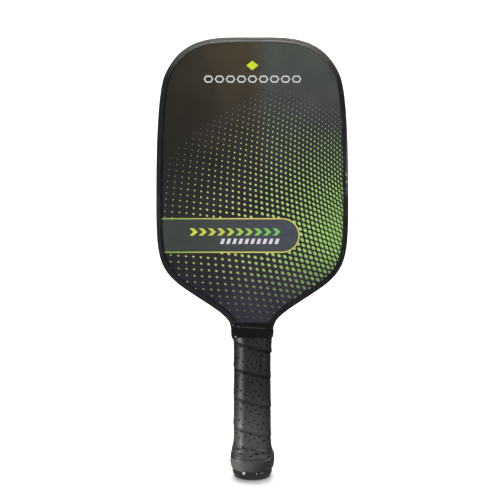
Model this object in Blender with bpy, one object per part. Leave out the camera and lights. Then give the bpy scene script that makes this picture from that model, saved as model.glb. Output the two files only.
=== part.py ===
"""Pickleball paddle: honeycomb panel, printed faces, edge guard, wrapped handle and butt cap.

Metres. +Z runs up the handle to the head, the front face looks along -Y, and +X is to the right
seen from the front. The origin is the centre of the butt cap's flat end.
"""

import math

import bmesh
import bpy
from mathutils import Vector

# Driving dimensions
OVERALL_LENGTH = 0.4243
HEAD_WIDTH = 0.1853
PANEL_THICKNESS = 0.0152  # over both printed films
HANDLE_WIDTH = 0.0312  # bare handle, under the grip
HANDLE_DEPTH = 0.0262
GAP = 0.0003  # glue line or running gap between neighbouring pieces

# Layers of the panel, as distances from its middle plane
FILM_THICKNESS = 0.0002
SKIN_THICKNESS = 0.0005
FILM_OUTER = PANEL_THICKNESS / 2
FILM_INNER = FILM_OUTER - FILM_THICKNESS
SKIN_OUTER = FILM_INNER - GAP
SKIN_INNER = SKIN_OUTER - SKIN_THICKNESS
SCRIM_THICKNESS = 0.0003
SCRIM_OUTER = SKIN_INNER - GAP
SCRIM_INNER = SCRIM_OUTER - SCRIM_THICKNESS
CORE_HALF = SCRIM_INNER - GAP

# Edge guard: a U-channel whose lips lap over both faces
GUARD_WEB = 0.0015
GUARD_LIP = 0.0010
GUARD_REACH = 0.0054  # from the paddle's outer edge to the lip's inner edge
GUARD_TAPE = 0.0006
GUARD_END = 0.1375  # height of the channel's two cut ends
LIP_INNER = FILM_OUTER + GAP
LIP_OUTER = LIP_INNER + GUARD_LIP
PANEL_INSET = GUARD_WEB + GAP + GUARD_TAPE + GAP

# Honeycomb, coarser than a real core's eight millimetre cells
CELL_PITCH = 0.0130
CELL_WALL = 0.0010
CORE_RIM = 0.0014

# Handle heights
TONGUE_BOTTOM = 0.0048
TONGUE_SHOULDER = 0.1300
FILM_BOTTOM = 0.1475
PALLET_NOSE = 0.1280  # the pallets start to slope down to the face here
PALLET_TOP = 0.1465
WRAP_BOTTOM = 0.0208
WRAP_TOP = 0.1370
TAPE_BOTTOM = 0.1340
TAPE_TOP = 0.1500
CHAMFER = 0.0056  # of the handle's octagonal section
VINYL = 0.0004  # finishing tape

STAPLE_WIRE = 0.00035
STAPLE_CROWN = 0.0100
STAPLE_TIP = 0.0098  # distance of the leg tips from the middle plane

CURVE_STEPS = 12  # outline points per Bezier stretch
CORNER_STEPS = 4  # points per rounded corner of a handle section

HALF_WIDTH = HEAD_WIDTH / 2
# Right half of the outer edge, from the top centre to the throat:
# (point, handle towards the top, handle towards the throat)
OUTLINE_KNOTS = (
    ((0.0, OVERALL_LENGTH), (0.0, 0.0), (0.0345, 0.0)),
    ((0.9 * HALF_WIDTH, OVERALL_LENGTH - 0.0341), (-0.0177, 0.0366), (0.0030, -0.0062)),
    ((HALF_WIDTH, 0.2710), (0.0, 0.0985), (0.0, -0.0563)),
    ((0.0639, 0.1812), (0.0283, 0.0192), (-0.0275, -0.0187)),
    ((0.0197, 0.1411), (0.0, 0.0141), (0.0, 0.0)),
)
OUTLINE_END = (0.0194, GUARD_END)


def clear_scene():
    for obj in list(bpy.data.objects):
        bpy.data.objects.remove(obj)


def new_collection(name):
    collection = bpy.data.collections.new(name)
    bpy.context.scene.collection.children.link(collection)
    return collection


def material(name, colour, roughness, metallic=0.0):
    made = bpy.data.materials.new(name)
    made.use_nodes = True
    shader = made.node_tree.nodes["Principled BSDF"]
    shader.inputs["Base Color"].default_value = (*colour, 1.0)
    shader.inputs["Roughness"].default_value = roughness
    shader.inputs["Metallic"].default_value = metallic
    return made


# Outlines, as (x, z) points


def bezier(start, start_handle, end_handle, end, steps):
    """Points of a cubic Bezier stretch, without its last one."""
    p0 = Vector(start)
    p1 = p0 + Vector(start_handle)
    p3 = Vector(end)
    p2 = p3 + Vector(end_handle)
    points = []
    for i in range(steps):
        t = i / steps
        s = 1 - t
        points.append(s**3 * p0 + 3 * s * s * t * p1 + 3 * s * t * t * p2 + t**3 * p3)
    return points


def outer_edge():
    """The paddle's outer edge, open at the throat, from its left end over the top to its right end."""
    right = []
    for first, second in zip(OUTLINE_KNOTS, OUTLINE_KNOTS[1:]):
        right += bezier(first[0], first[2], second[1], second[0], CURVE_STEPS)
    right += [Vector(OUTLINE_KNOTS[-1][0]), Vector(OUTLINE_END)]
    left = [Vector((-p.x, p.y)) for p in reversed(right[1:])]
    return left + right


def inset(points, distance):
    """An open outline moved inwards, which is to its right as it runs over the top."""
    moved = []
    for i, point in enumerate(points):
        along = points[min(i + 1, len(points) - 1)] - points[max(i - 1, 0)]
        along.normalize()
        moved.append(point + distance * Vector((along.y, -along.x)))
    return moved


def cut_at(points, height):
    """The stretch of an outline above a height, with an end point exactly on it at each side."""
    kept = [p for p in points if p.y > height]
    ends = []
    for inside, outside in ((kept[0], points[points.index(kept[0]) - 1]),
                            (kept[-1], points[points.index(kept[-1]) + 1])):
        share = (inside.y - height) / (inside.y - outside.y)
        ends.append(inside.lerp(outside, share))
    return [ends[0]] + kept + [ends[1]]


def edge_at(height):
    """Half the paddle's width at a height."""
    return cut_at(outer_edge(), height)[-1].x


def panel_outline():
    """Head and handle tongue of the core and skins, closed."""
    half = HANDLE_WIDTH / 2
    tongue = [(half, TONGUE_SHOULDER), (half, TONGUE_BOTTOM)]
    right = [Vector(p) for p in tongue]
    left = [Vector((-p.x, p.y)) for p in reversed(right)]
    return inset(outer_edge(), PANEL_INSET) + right + left


def inside(point, polygon):
    crossings = 0
    for a, b in zip(polygon, polygon[1:] + polygon[:1]):
        if (a.y > point.y) != (b.y > point.y):
            x = a.x + (point.y - a.y) / (b.y - a.y) * (b.x - a.x)
            crossings += x > point.x
    return crossings % 2 == 1


def hexagon(centre, across_flats):
    radius = across_flats / math.sqrt(3)
    angles = [math.radians(30 + 60 * i) for i in range(6)]
    return [centre + radius * Vector((math.cos(a), math.sin(a))) for a in angles]


def honeycomb_cells(outline):
    """The hexagons of a honeycomb that lie wholly inside an outline, clear of a thin rim."""
    row_pitch = CELL_PITCH * math.sqrt(3) / 2
    rows = math.ceil(OVERALL_LENGTH / row_pitch)
    columns = math.ceil(HALF_WIDTH / CELL_PITCH)
    cells = []
    for row in range(rows):
        shift = 0.5 if row % 2 else 0.0
        for column in range(-columns, columns + 1):
            centre = Vector(((column + shift) * CELL_PITCH, row * row_pitch))
            reach = hexagon(centre, CELL_PITCH - CELL_WALL + 2 * CORE_RIM)
            if all(inside(corner, outline) for corner in reach):
                cells.append(hexagon(centre, CELL_PITCH - CELL_WALL))
    return cells


# Solids


def add(obj, collection, look):
    collection.objects.link(obj)
    obj.data.materials.append(look)
    return obj


def plate(name, loops, near, far, collection, look):
    """A flat sheet in the XZ plane from y = near to y = far: an outline, then the holes in it."""
    curve = bpy.data.curves.new(name, "CURVE")
    curve.dimensions = "2D"
    curve.fill_mode = "BOTH"
    curve.extrude = (far - near) / 2
    for loop in loops:
        spline = curve.splines.new("POLY")
        spline.points.add(len(loop) - 1)
        for target, point in zip(spline.points, loop):
            target.co = (point.x, point.y, 0.0, 1.0)
        spline.use_cyclic_u = True
    obj = bpy.data.objects.new(name, curve)
    obj.rotation_euler.x = math.pi / 2
    obj.location.y = (near + far) / 2
    return add(obj, collection, look)


def profile_curve(name, points, helpers):
    """A closed section for a sweep: x points inwards from the paddle's edge, y across its thickness."""
    curve = bpy.data.curves.new(name, "CURVE")
    curve.dimensions = "2D"
    curve.fill_mode = "NONE"
    spline = curve.splines.new("POLY")
    spline.points.add(len(points) - 1)
    for target, (x, y) in zip(spline.points, points):
        target.co = (x, y, 0.0, 1.0)
    spline.use_cyclic_u = True
    obj = bpy.data.objects.new(name, curve)
    obj.hide_render = True
    obj.display_type = "WIRE"
    helpers.objects.link(obj)
    return obj


def sweep(name, path, profile, collection, look):
    """A section swept round the paddle's edge, with both ends closed."""
    curve = bpy.data.curves.new(name, "CURVE")
    curve.dimensions = "2D"
    curve.fill_mode = "NONE"
    curve.bevel_mode = "OBJECT"
    curve.bevel_object = profile
    curve.use_fill_caps = True
    spline = curve.splines.new("POLY")
    spline.points.add(len(path) - 1)
    for target, point in zip(spline.points, path):
        target.co = (point.x, point.y, 0.0, 1.0)
    obj = bpy.data.objects.new(name, curve)
    obj.rotation_euler.x = math.pi / 2
    return add(obj, collection, look)


def octagon(z, half_width, half_depth, chamfer, radius=0.0028):
    """A ring of points: an octagon with rounded corners, level at height z."""
    corners = [(half_width, half_depth - chamfer), (half_width - chamfer, half_depth)]
    corners += [(-x, y) for x, y in reversed(corners)]
    corners += [(-x, -y) for x, y in corners]
    corners = [Vector(c) for c in corners]
    ring = []
    for i, corner in enumerate(corners):
        before = (corners[i - 1] - corner).normalized()
        after = (corners[(i + 1) % len(corners)] - corner).normalized()
        half_angle = before.angle(after) / 2
        centre = corner + (before + after).normalized() * radius / math.sin(half_angle)
        run = radius / math.tan(half_angle)
        start = corner + before * run - centre
        turn = math.pi - 2 * half_angle
        for step in range(CORNER_STEPS):
            angle = turn * step / (CORNER_STEPS - 1)
            c, s = math.cos(angle), math.sin(angle)
            x = centre.x + start.x * c - start.y * s
            y = centre.y + start.x * s + start.y * c
            ring.append(Vector((x, y, z)))
    return ring


def loft(name, rings, collection, look, closed=False):
    """A skin through rings of equal point counts. Closed joins the last ring to the first,
    as a sleeve; otherwise both end rings are capped."""
    bm = bmesh.new()
    layers = [[bm.verts.new(p) for p in ring] for ring in rings]
    pairs = list(zip(layers, layers[1:]))
    if closed:
        pairs.append((layers[-1], layers[0]))
    else:
        bm.faces.new(reversed(layers[0]))
        bm.faces.new(layers[-1])
    for lower, upper in pairs:
        for i in range(len(lower)):
            j = (i + 1) % len(lower)
            bm.faces.new((lower[i], lower[j], upper[j], upper[i]))
    bmesh.ops.recalc_face_normals(bm, faces=bm.faces)
    mesh = bpy.data.meshes.new(name)
    bm.to_mesh(mesh)
    bm.free()
    return add(bpy.data.objects.new(name, mesh), collection, look)


def as_mesh(obj, collection):
    """The object as a welded mesh, in place of a curve, so that a Boolean can take it."""
    bpy.context.view_layer.update()
    graph = bpy.context.evaluated_depsgraph_get()
    mesh = bpy.data.meshes.new_from_object(obj.evaluated_get(graph), depsgraph=graph)
    bm = bmesh.new()
    bm.from_mesh(mesh)
    bmesh.ops.remove_doubles(bm, verts=bm.verts, dist=0.00001)
    bmesh.ops.recalc_face_normals(bm, faces=bm.faces)
    bm.to_mesh(mesh)
    bm.free()
    name = obj.name
    matrix = obj.matrix_world.copy()
    bpy.data.objects.remove(obj)
    made = bpy.data.objects.new(name, mesh)
    made.matrix_world = matrix
    collection.objects.link(made)
    return made


def boolean(obj, other, operation):
    modifier = obj.modifiers.new(other.name, "BOOLEAN")
    modifier.operation = operation
    modifier.object = other


def cutter(obj):
    obj.hide_render = True
    obj.display_type = "WIRE"
    return obj


# Pieces


def guard_section():
    """The channel's section: a flat web, a tight shoulder, and a lip with a round inner edge."""
    half = [
        (0.0, LIP_OUTER - 0.0023),
        (0.0003, LIP_OUTER - 0.0008),
        (0.0010, LIP_OUTER - 0.0004),
        (0.0034, LIP_OUTER - 0.0001),
        (GUARD_REACH - 0.0005, LIP_OUTER),
        (GUARD_REACH, LIP_OUTER - 0.0004),
        (GUARD_REACH, LIP_INNER),
        (GUARD_WEB, LIP_INNER),
    ]
    return half + [(x, -y) for x, y in reversed(half)]


def make_panel(parts, looks):
    outline = panel_outline()
    cells = honeycomb_cells(outline)
    plate("honeycomb_core", [outline] + cells, -CORE_HALF, CORE_HALF, parts, looks["core"])
    film = cut_at(inset(outer_edge(), PANEL_INSET), FILM_BOTTOM)
    for side, sign in (("front", -1), ("back", 1)):
        near, far = sorted((sign * SCRIM_INNER, sign * SCRIM_OUTER))
        plate(f"{side}_core_scrim", [outline], near, far, parts, looks["scrim"])
        near, far = sorted((sign * SKIN_INNER, sign * SKIN_OUTER))
        plate(f"{side}_face_skin", [outline], near, far, parts, looks["skin"])
        near, far = sorted((sign * FILM_INNER, sign * FILM_OUTER))
        plate(f"{side}_graphic_film", [film], near, far, parts, looks["film"])


def make_edge_guard(parts, helpers, looks):
    path = outer_edge()
    section = profile_curve("guard section", guard_section(), helpers)
    sweep("edge_guard", path, section, parts, looks["guard"])
    near, far = GUARD_WEB + GAP, GUARD_WEB + GAP + GUARD_TAPE
    strip = [(near, SKIN_INNER), (far, SKIN_INNER), (far, -SKIN_INNER), (near, -SKIN_INNER)]
    section = profile_curve("tape section", strip, helpers)
    sweep("edge_guard_tape", path, section, parts, looks["foam_tape"])


def make_pallets(parts, helpers, looks):
    """Two moulded half-handles bonded on the tongue. Each is the handle's octagonal section,
    with a nose that slopes down to the face between the edge guard's ends."""
    seat = SKIN_OUTER + GAP
    half_width, half_depth = HANDLE_WIDTH / 2, HANDLE_DEPTH / 2
    neck = OUTLINE_END[0] - GUARD_REACH - GAP
    guard_clear = GUARD_END - 0.0006
    plan = [(half_width, TONGUE_BOTTOM), (half_width, guard_clear), (neck, guard_clear),
            (neck, PALLET_TOP)]
    plan = [Vector(p) for p in plan] + [Vector((-x, z)) for x, z in reversed(plan)]
    for side, sign in (("front", -1), ("back", 1)):
        near, far = sorted((sign * seat, sign * half_depth))
        pallet = plate(f"{side}_handle_pallet", [plan], near, far, parts, looks["pallet"])
        pallet = as_mesh(pallet, parts)
        section = octagon(0.0, half_width, half_depth, CHAMFER)
        rings = [[p + Vector((0, 0, z)) for p in section] for z in (-0.01, OVERALL_LENGTH / 2)]
        body = loft(f"{side} handle section", rings, helpers, looks["pallet"])
        boolean(pallet, cutter(body), "INTERSECT")
        slope = [(sign * (seat + 0.0008), PALLET_TOP + 0.0001), (sign * half_depth, PALLET_NOSE),
                 (sign * 2 * half_depth, PALLET_NOSE), (sign * 2 * half_depth, 2 * PALLET_NOSE),
                 (sign * (seat + 0.0008), 2 * PALLET_NOSE)]
        rings = [[Vector((x, y, z)) for y, z in slope] for x in (-HANDLE_WIDTH, HANDLE_WIDTH)]
        boolean(pallet, cutter(loft(f"{side} nose slope", rings, helpers, looks["pallet"])),
                "DIFFERENCE")


def make_butt_cap(parts, looks):
    """A flared cup that takes the handle's end. Its upper skirt lies under the grip, and its lower
    part turns from the handle's octagon into nearly an oval."""
    seat = GAP + HANDLE_WIDTH / 2
    deep = HANDLE_DEPTH - HANDLE_WIDTH  # the section is this much less deep than wide
    outside = [  # (z, half width, roundness)
        (0.0, 0.0152, 1.0), (0.0003, 0.0166, 1.0), (0.0010, 0.0174, 1.0), (0.0030, 0.0183, 1.0),
        (0.0061, 0.0194, 1.0), (0.0077, 0.0189, 1.0), (0.0085, 0.0197, 1.0), (0.0107, 0.0206, 0.6),
        (0.0146, 0.0211, 0.2), (0.0184, 0.0212, 0.0), (0.0200, 0.0209, 0.0), (0.0205, 0.0204, 0.0),
        (0.0205, 0.0191, 0.0), (0.0222, 0.0186, 0.0), (0.0243, 0.0177, 0.0), (0.0262, 0.0169, 0.0),
        (0.0300, 0.0165, 0.0), (0.0340, 0.0163, 0.0),
    ]
    rings = []
    for z, half_width, roundness in outside:
        half_depth = half_width + deep / 2 + 0.0005 * roundness
        chamfer = CHAMFER + 0.0040 * roundness
        rings.append(octagon(z, half_width, half_depth, chamfer, 0.0028 + 0.0080 * roundness))
    for z in (0.0340, TONGUE_BOTTOM - GAP):
        rings.append(octagon(z, seat, seat + deep / 2, CHAMFER))
    return loft("butt_cap", rings, parts, looks["cap"])


def make_grip(parts, looks):
    """The wound cushion strip as one plain sleeve, over the cap's skirt and up to the guard ends."""
    half_width, half_depth = HANDLE_WIDTH / 2 + GAP, HANDLE_DEPTH / 2 + GAP
    outside = [  # (z, half width, half depth, chamfer)
        (WRAP_BOTTOM, 0.0209, 0.0184, CHAMFER), (0.0222, 0.0207, 0.0182, CHAMFER),
        (0.0243, 0.0198, 0.0173, CHAMFER), (0.0262, 0.0189, 0.0164, CHAMFER),
        (0.0300, 0.0185, 0.0160, CHAMFER), (0.0360, 0.0181, 0.0156, CHAMFER),
        (0.0420, 0.0178, 0.0153, CHAMFER), (0.1262, 0.0177, 0.0152, CHAMFER),
        (0.1285, 0.0185, 0.0158, CHAMFER), (WRAP_TOP, 0.0190, 0.0136, 0.0048),
    ]
    within = [
        (WRAP_TOP, half_width + 0.0013, 0.0113, 0.0041),
        (TONGUE_SHOULDER, half_width, 0.0132, 0.0055),
        (PALLET_NOSE, half_width, half_depth, CHAMFER), (0.0345, half_width, half_depth, CHAMFER),
        (0.0343, 0.0166, 0.0141, CHAMFER), (0.0300, 0.0168, 0.0143, CHAMFER),
        (0.0262, 0.0172, 0.0147, CHAMFER), (0.0243, 0.0181, 0.0156, CHAMFER),
        (0.0222, 0.0190, 0.0165, CHAMFER), (WRAP_BOTTOM, 0.0195, 0.0170, CHAMFER),
    ]
    rings = [octagon(*ring) for ring in outside + within]
    return loft("grip_wrap", rings, parts, looks["grip"], closed=True)


def make_finishing_tape(parts, looks):
    """Turns of vinyl tape over the grip's top end, the guard's ends and the foot of the faces."""
    clear = [  # (z, half width, half depth, chamfer) of the space it encloses
        (TAPE_BOTTOM, 0.0193, 0.0150, 0.0052), (WRAP_TOP + 0.0003, 0.0195, 0.0140, 0.0044),
        (0.1411, edge_at(0.1411) + GAP, 0.0122, 0.0032),
        (0.1455, edge_at(0.1455) + GAP, 0.0105, 0.0016),
        (0.1480, edge_at(0.1480) + GAP, 0.0097, 0.0008),
        (TAPE_TOP, edge_at(TAPE_TOP) + GAP, LIP_OUTER + GAP, 0.0004),
    ]
    within = [octagon(z, w, d, c, 0.0003) for z, w, d, c in clear]
    outside = [octagon(z, w + VINYL, d + VINYL, c, 0.0005) for z, w, d, c in clear]
    rings = outside + within[::-1]
    return loft("finishing_tape", rings, parts, looks["vinyl"], closed=True)


def staple(name, z, crown_y, tip_y, side, radius, collection, look):
    """A wire staple driven along Y: side -1 from the front, 1 from the back."""
    half = STAPLE_CROWN / 2
    legs = [(-half, tip_y), (-half, crown_y), (half, crown_y), (half, tip_y)]
    curve = bpy.data.curves.new(name, "CURVE")
    curve.dimensions = "3D"
    curve.bevel_depth = radius
    curve.bevel_resolution = 1
    curve.use_fill_caps = True
    spline = curve.splines.new("POLY")
    spline.points.add(len(legs) - 1)
    for target, (x, y) in zip(spline.points, legs):
        target.co = (x, side * y, z, 1.0)
    return add(bpy.data.objects.new(name, curve), collection, look)


def make_staples(parts, helpers, looks):
    """The cap's two staples, and the one that pins the grip's start, with holes for them."""
    staples = (
        ("butt_cap_staple_front", 0.0240, 0.0148, -1, ("butt_cap", "front_handle_pallet")),
        ("butt_cap_staple_back", 0.0240, 0.0148, 1, ("butt_cap", "back_handle_pallet")),
        ("grip_staple", 0.0310, 0.0148, 1, ("grip_wrap", "butt_cap", "back_handle_pallet")),
    )
    for name, z, crown_y, side, pierced in staples:
        staple(name, z, crown_y, STAPLE_TIP, side, STAPLE_WIRE, parts, looks["steel"])
        hole = staple(f"{name} hole", z, crown_y, STAPLE_TIP - GAP, side, STAPLE_WIRE + GAP,
                      helpers, looks["steel"])
        hole = cutter(as_mesh(hole, helpers))
        for target in pierced:
            boolean(bpy.data.objects[target], hole, "DIFFERENCE")


def main():
    clear_scene()
    parts = new_collection("pickleball paddle")
    helpers = new_collection("cutters and sections")
    helpers.hide_render = True
    looks = {
        "core": material("polypropylene honeycomb", (0.80, 0.82, 0.80), 0.5),
        "scrim": material("bonded fleece", (0.75, 0.76, 0.74), 0.9),
        "skin": material("carbon composite", (0.03, 0.03, 0.03), 0.4),
        "film": material("printed film", (0.04, 0.04, 0.045), 0.4),
        "guard": material("black edge plastic", (0.02, 0.02, 0.022), 0.35),
        "foam_tape": material("foam tape", (0.10, 0.10, 0.10), 0.8),
        "pallet": material("moulded foam", (0.45, 0.38, 0.28), 0.7),
        "cap": material("black cap plastic", (0.03, 0.03, 0.03), 0.4),
        "grip": material("cushion grip", (0.03, 0.03, 0.03), 0.5),
        "vinyl": material("black vinyl tape", (0.01, 0.01, 0.01), 0.25),
        "steel": material("staple wire", (0.60, 0.60, 0.60), 0.3, 1.0),
    }
    make_panel(parts, looks)
    make_edge_guard(parts, helpers, looks)
    make_pallets(parts, helpers, looks)
    make_butt_cap(parts, looks)
    make_grip(parts, looks)
    make_finishing_tape(parts, looks)
    make_staples(parts, helpers, looks)


main()
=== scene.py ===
"""Looks of the pickleball paddle: printed faces, edge guard, wound grip, finishing tape, butt cap.

Everything is in metres in the frame of the CAD model: +Z up the handle, the front face looks along
-Y. The print is built once for the front and turned half round for the back.
"""

import math

import bmesh
import bpy
from mathutils import Matrix, Vector, geometry, noise

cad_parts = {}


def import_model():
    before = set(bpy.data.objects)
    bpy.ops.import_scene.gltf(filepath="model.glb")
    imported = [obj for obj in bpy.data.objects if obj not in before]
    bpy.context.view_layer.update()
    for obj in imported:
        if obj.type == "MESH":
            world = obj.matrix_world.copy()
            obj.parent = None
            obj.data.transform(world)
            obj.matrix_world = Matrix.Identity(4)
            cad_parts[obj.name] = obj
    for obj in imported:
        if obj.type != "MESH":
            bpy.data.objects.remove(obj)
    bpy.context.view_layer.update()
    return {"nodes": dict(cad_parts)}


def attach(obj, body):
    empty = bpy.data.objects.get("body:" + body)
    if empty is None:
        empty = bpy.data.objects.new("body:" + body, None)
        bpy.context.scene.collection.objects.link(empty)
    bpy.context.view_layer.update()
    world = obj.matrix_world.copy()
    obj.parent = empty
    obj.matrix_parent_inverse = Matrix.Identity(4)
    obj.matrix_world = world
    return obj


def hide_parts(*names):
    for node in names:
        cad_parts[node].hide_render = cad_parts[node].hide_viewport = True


MM = 0.001

# Sizes repeated from the CAD model
LENGTH = 0.4243
HALF_WIDTH = 0.1853 / 2
FILM_FACE = 0.0076
FILM_THICKNESS = 0.0002
PANEL_INSET = 0.0027
FILM_BOTTOM = 0.1475
GUARD_END = 0.1375
WRAP_BOTTOM = 0.0208
WRAP_TOP = 0.1370
TAPE_TOP = 0.1500
OUTLINE_KNOTS = (  # point, handle towards the top, handle towards the throat
    ((0.0, LENGTH), (0.0, 0.0), (0.0345, 0.0)),
    ((0.9 * HALF_WIDTH, LENGTH - 0.0341), (-0.0177, 0.0366), (0.0030, -0.0062)),
    ((HALF_WIDTH, 0.2710), (0.0, 0.0985), (0.0, -0.0563)),
    ((0.0639, 0.1812), (0.0283, 0.0192), (-0.0275, -0.0187)),
    ((0.0197, 0.1411), (0.0, 0.0141), (0.0, 0.0)),
)
OUTLINE_END = (0.0194, GUARD_END)
CURVE_STEPS = 56

# Thickness of the printed layers over the film, one above the other
DOT_INK = 0.05 * MM
BAND_INK = 0.09 * MM
LINE_INK = 0.13 * MM

# Dots: steps of the lattice are counted across and down from a dot left of the middle
DOT_STEPS_ACROSS = range(-13, 28)
DOT_STEPS_DOWN = range(-28, 23)
DOT_CORNERS = 20
LEAST_COVER = 0.007

# Label band with a round right end
BAND_MIDDLE = 0.2334
BAND_HALF = 0.01675
BAND_ROUND_X = 0.0289
BAND_LINE = 0.00125
BAND_ARC_STEPS = 48

# Grip: a strip wound on the handle. Turns are counted from the front's middle, to the left as seen
# from the front, and the strip climbs that way
STRIP_WIDTH = 0.0312
STRIP_TUCK = 0.0028  # of a turn under the lower edge of the next
STRIP_EDGE = (  # turns, height of the strip's lower edge there
    (-2.0, -0.0100), (-1.0, 0.0176), (0.0, 0.0454), (1.0, 0.0737), (2.0, 0.1019), (3.0, 0.1267),
    (4.0, 0.1650),
)
STRIP_FOLDS = (  # creases over the handle's flare: height, slope and bend to the left, depth
    (0.0290, 0.022, 0.12, 0.00070),
    (0.0254, -0.012, 0.0, 0.00055),
    (0.0318, 0.010, 0.05, 0.00035),
)
STRIP_THICKNESS = 0.00175
STRIP_LAP = 0.00048  # a lower edge stands this much over the turn below it
STRIP_ROUND = 0.0007  # radius of the strip's edge
STRIP_STEPS = 140  # of its mesh in one turn
STRIP_ROWS = (0.0, 0.00012, 0.0003, 0.0006, 0.0011, 0.0018, 0.0028, 0.0040)  # next to its edge
STRIP_ROW = 0.0011  # between the other rows of its mesh
BARE_PLACE = 0.79  # of a turn, where the strip's cut end leaves the cap's shoulder bare
HOLE_RADIUS = 0.00078
HOLE_PITCH = 0.0084
HOLE_SHIFT = 0.0034
HOLE_ROWS = (0.0057, 0.0088, 0.0118, 0.0196, 0.0228, 0.0259)  # above the strip's lower edge
HOLE_CORNERS = 10
HOLE_CELL = 0.003  # grid in which the nearest hole is looked up
PIT_STEPS = ((0.88, 0.00015), (0.78, 0.0006), (0.72, 0.0014))  # share of the radius, depth

# Finishing tape
TAPE_LOW = 0.1357  # its lower edge
TAPE_OVER = 0.0004  # it stands out this much over the guard
TAPE_AROUND = 240  # steps of its mesh
TAPE_UP = 40
TAPE_ROUND = 2  # more steps that round off each edge

# Butt cap
CAP_AROUND = 208  # steps of its mesh
SKIRT_HALF = 0.0213  # half width of the skirt where it is widest
CAP_GROOVE = (0.0078, 0.0086)  # heights between which the smooth rim turns into the matt skirt

# The handle under the strip, an octagon with round corners: height, half width, half depth, chamfer
HANDLE_RADIUS = 0.0094
HANDLE = (
    (0.0200, 0.0193, 0.0168, 0.0060), (0.0222, 0.0190, 0.0165, 0.0060),
    (0.0243, 0.0183, 0.0158, 0.0058), (0.0262, 0.0177, 0.0150, 0.0058),
    (0.0300, 0.0170, 0.0143, 0.0058), (0.0360, 0.0166, 0.0139, 0.0058),
    (0.0450, 0.0164, 0.0136, 0.0058), (0.1240, 0.0162, 0.0134, 0.0058),
    (0.1300, 0.0165, 0.0134, 0.0058), (0.1380, 0.0173, 0.0124, 0.0056),
)


# Outlines, as (x, z) points


def bezier(start, start_handle, end_handle, end, steps):
    """Points of a cubic curve without its last one. Handles are relative to their ends."""
    p0 = Vector(start)
    p1 = p0 + Vector(start_handle)
    p3 = Vector(end)
    p2 = p3 + Vector(end_handle)
    points = []
    for i in range(steps):
        t = i / steps
        s = 1 - t
        points.append(s**3 * p0 + 3 * s * s * t * p1 + 3 * s * t * t * p2 + t**3 * p3)
    return points


def outer_edge():
    """The paddle's outer edge from its left end over the top to its right end."""
    right = []
    for first, second in zip(OUTLINE_KNOTS, OUTLINE_KNOTS[1:]):
        right += bezier(first[0], first[2], second[1], second[0], CURVE_STEPS)
    right += [Vector(OUTLINE_KNOTS[-1][0]), Vector(OUTLINE_END)]
    left = [Vector((-p.x, p.y)) for p in reversed(right[1:])]
    return left + right


def inward(points):
    """A unit vector pointing inwards at each point of the open outer edge."""
    vectors = []
    for i in range(len(points)):
        along = points[min(i + 1, len(points) - 1)] - points[max(i - 1, 0)]
        along.normalize()
        vectors.append(Vector((along.y, -along.x)))
    return vectors


def inset(points, distance):
    """The open outer edge moved inwards."""
    return [p + distance * n for p, n in zip(points, inward(points))]


def cut_at(points, height):
    """The stretch of an outline above a height, with an end point exactly on it at each side."""
    kept = [p for p in points if p.y > height]
    ends = []
    for inside, outside in ((kept[0], points[points.index(kept[0]) - 1]),
                            (kept[-1], points[points.index(kept[-1]) + 1])):
        share = (inside.y - height) / (inside.y - outside.y)
        ends.append(inside.lerp(outside, share))
    return [ends[0]] + kept + [ends[1]]


def half_width_at(points, height):
    """How far an outline reaches to the right at a height."""
    return cut_at(points, height)[-1].x


def inset_polygon(polygon, distance):
    """A closed clockwise outline moved inwards."""
    moved = []
    for i, point in enumerate(polygon):
        along = polygon[(i + 1) % len(polygon)] - polygon[i - 1]
        along.normalize()
        moved.append(point + distance * Vector((along.y, -along.x)))
    return moved


def contains(polygon, point):
    """Whether a point lies inside a closed outline."""
    crossings = 0
    for a, b in zip(polygon, polygon[1:] + polygon[:1]):
        if (a.y > point.y) != (b.y > point.y):
            x = a.x + (point.y - a.y) / (b.y - a.y) * (b.x - a.x)
            crossings += x > point.x
    return crossings % 2 == 1


def smooth(low, high, value):
    """0 at low and 1 at high, level beyond them, and a smooth step between them."""
    t = min(max((value - low) / (high - low), 0.0), 1.0)
    return t * t * (3 - 2 * t)


def interpolate(rows, key):
    """Values on a smooth curve through the rows of a table, whose first column is the key."""
    key = min(max(key, rows[0][0]), rows[-1][0])
    i = max(n for n, row in enumerate(rows[:-1]) if row[0] <= key)
    low, high = rows[i], rows[i + 1]
    before, after = rows[max(i - 1, 0)], rows[min(i + 2, len(rows) - 1)]
    span = high[0] - low[0]
    t = (key - low[0]) / span
    values = []
    for column in range(1, len(low)):
        a, b = low[column], high[column]
        slope_a = (b - before[column]) / (high[0] - before[0]) * span
        slope_b = (after[column] - a) / (after[0] - low[0]) * span
        values.append(a * (1 + 2 * t) * (1 - t) ** 2 + slope_a * t * (1 - t) ** 2
                      + b * t * t * (3 - 2 * t) + slope_b * t * t * (t - 1))
    return tuple(values)


# Meshes


def add_object(name, data):
    obj = bpy.data.objects.new(name, data)
    bpy.context.scene.collection.objects.link(obj)
    return obj


def new_object(name, bm, material, shade_smooth=True):
    """An object made from a finished bmesh, which is freed."""
    bmesh.ops.recalc_face_normals(bm, faces=bm.faces)
    mesh = bpy.data.meshes.new(name)
    bm.to_mesh(mesh)
    bm.free()
    mesh.materials.append(material)
    if shade_smooth:
        mesh.shade_smooth()
    return add_object(name, mesh)


def bridge(bm, ring, following):
    """Faces between two closed rings with as many vertices."""
    faces = []
    for i in range(len(ring)):
        j = (i + 1) % len(ring)
        faces.append(bm.faces.new((ring[i], ring[j], following[j], following[i])))
    return faces


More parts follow.
